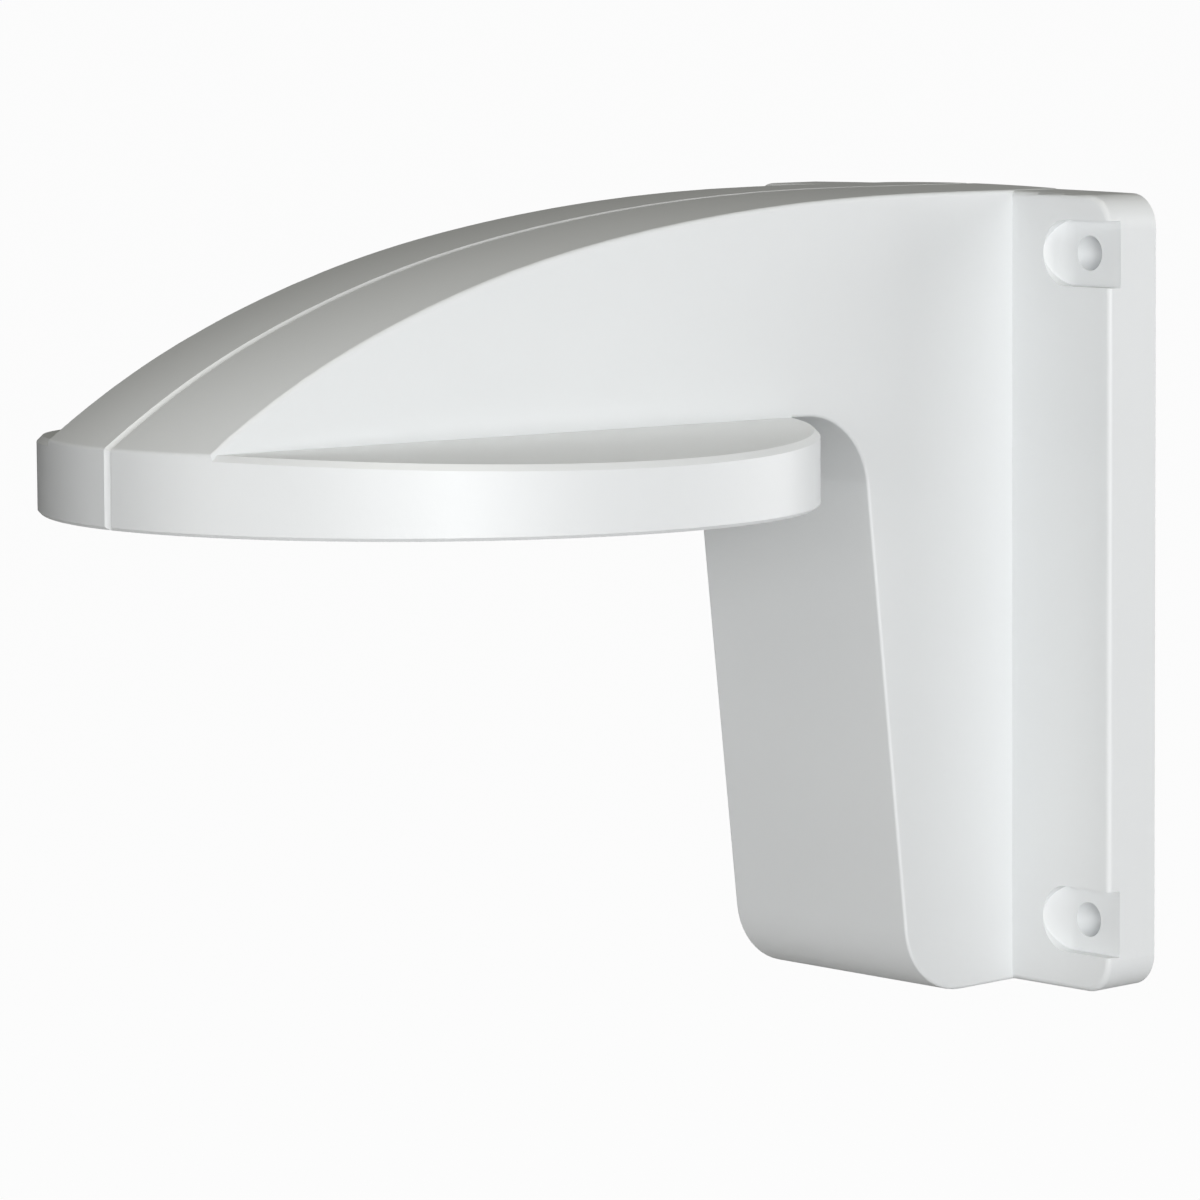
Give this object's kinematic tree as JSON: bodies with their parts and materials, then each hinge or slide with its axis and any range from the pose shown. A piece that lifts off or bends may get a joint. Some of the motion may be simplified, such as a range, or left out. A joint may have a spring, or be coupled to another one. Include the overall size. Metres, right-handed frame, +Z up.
{
  "type": "camera wall bracket",
  "caption": "Wall-mount arm for a small dome camera: round seat under an arched arm, sloping column and wall plate with screw pockets, moulded as one hollow piece.",
  "frame": {"origin": "in the wall plane, at the centre of the rectangle of the four wall screw holes", "axes": "+Y into the wall, so the arm reaches out along -Y; +Z up; X along the wall"},
  "size_m": [0.12, 0.172, 0.1284],
  "materials": {
    "housing": "satin white moulded plastic"
  },
  "bodies": {
    "root": {"bracket_body": "housing"}
  },
  "joints": []
}
